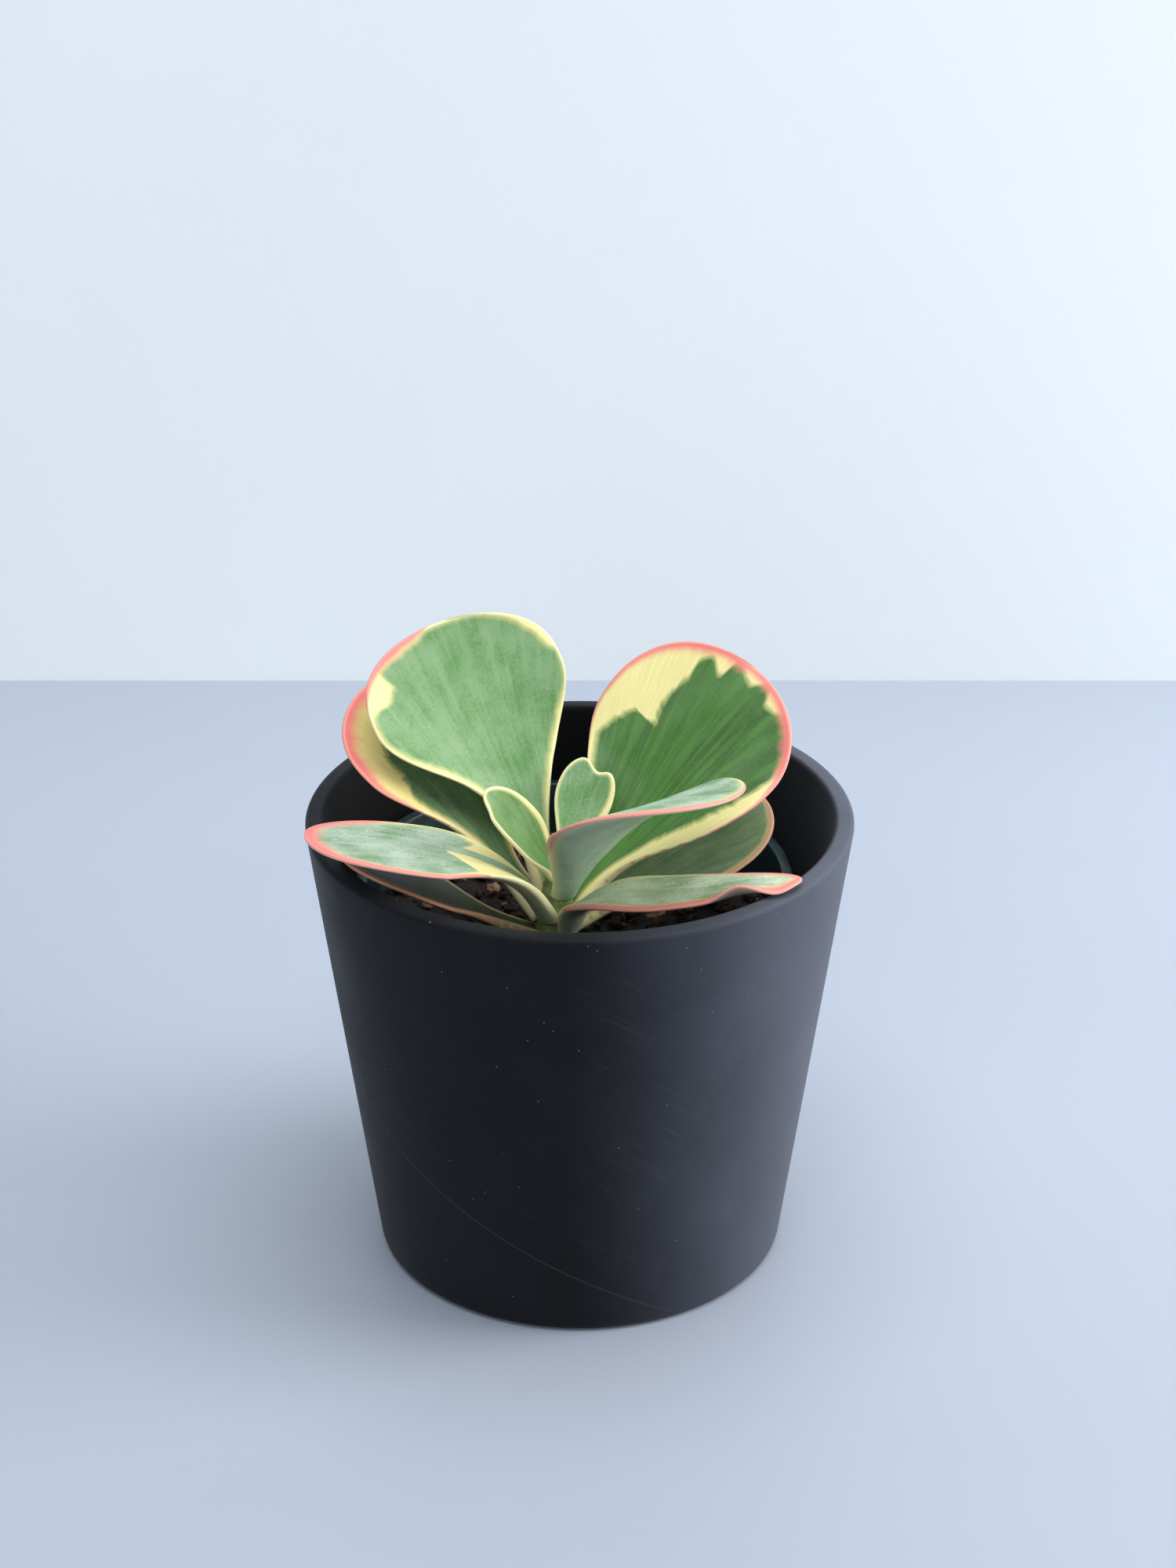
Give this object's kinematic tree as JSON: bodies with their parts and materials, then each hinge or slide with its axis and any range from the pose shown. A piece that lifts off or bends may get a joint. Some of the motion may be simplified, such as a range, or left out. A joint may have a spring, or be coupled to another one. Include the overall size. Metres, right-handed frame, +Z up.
{
  "type": "potted kalanchoe",
  "caption": "Variegated paddle-leaf succulent in a dark tapered planter, with a nursery pot and soil inside; stands on its flat base.",
  "frame": {"origin": "centre of the planter's base, on the surface it stands on", "axes": "+Z up; -Y is the front, with the low leaves; +X is to the right seen from the front"},
  "size_m": [0.1496, 0.1496, 0.1826],
  "materials": {
    "planter": "matte charcoal, fine rubbed scratches",
    "nursery_plastic": "thin dark green moulded plastic",
    "soil": "dark crumbly potting mix",
    "bark": "dry bark",
    "stem": "smooth green stem",
    "leaf_green": "waxy leaf with pale bloom and cream margin",
    "leaf_cream": "waxy cream leaf with pink margin",
    "leaf_deep": "waxy deep green and cream leaf with pink margin",
    "leaf_bloom": "powdery blue-green leaf with pink margin",
    "leaf_shade": "waxy olive leaf with red-brown margin"
  },
  "bodies": {
    "root": {"outer_pot": "planter", "nursery_pot": "nursery_plastic", "potting_soil": "soil", "stem": "stem", "leaf_back_left_tall": "leaf_green", "leaf_left_tall": "leaf_cream", "leaf_right_tall": "leaf_deep", "leaf_front_right": "leaf_bloom", "leaf_right_low": "leaf_shade", "leaf_front_low": "leaf_bloom", "leaf_left_level": "leaf_bloom", "leaf_left_low": "leaf_shade", "young_leaf_back": "leaf_green", "young_leaf_left": "leaf_green", "leaf_bud": "leaf_green", "bark_chip_01": "bark", "bark_chip_02": "bark", "bark_chip_03": "bark", "bark_chip_04": "bark", "bark_chip_05": "bark", "bark_chip_06": "bark", "bark_chip_07": "bark", "bark_chip_08": "bark", "bark_chip_09": "bark", "bark_chip_10": "bark"}
  },
  "joints": []
}
